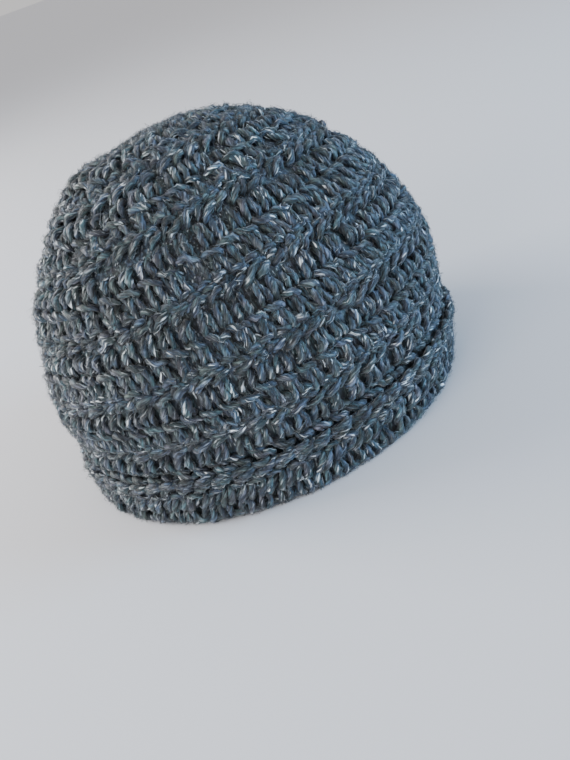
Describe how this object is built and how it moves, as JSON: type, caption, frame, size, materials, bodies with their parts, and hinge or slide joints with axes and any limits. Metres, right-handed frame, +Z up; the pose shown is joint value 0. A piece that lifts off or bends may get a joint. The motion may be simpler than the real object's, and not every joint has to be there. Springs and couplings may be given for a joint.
{
  "type": "crochet hat",
  "caption": "Domed crochet beanie in thick marled yarn, worked in rounds from the crown, with its brim turned up into a cuff.",
  "frame": {"origin": "middle of the hat's box, on the plane that the turned-up rim rests on", "axes": "+Z up through the crown, +X along the long axis of the oval head opening, +Y across it, -Y the side that shows most"},
  "size_m": [0.2169, 0.1796, 0.1557],
  "materials": {
    "yarn": "matte, slightly hairy plied yarn, charcoal marled with pale grey"
  },
  "bodies": {
    "root": {"cuff": "yarn", "side_wall": "yarn", "crown": "yarn", "start_ring": "yarn"}
  },
  "joints": []
}
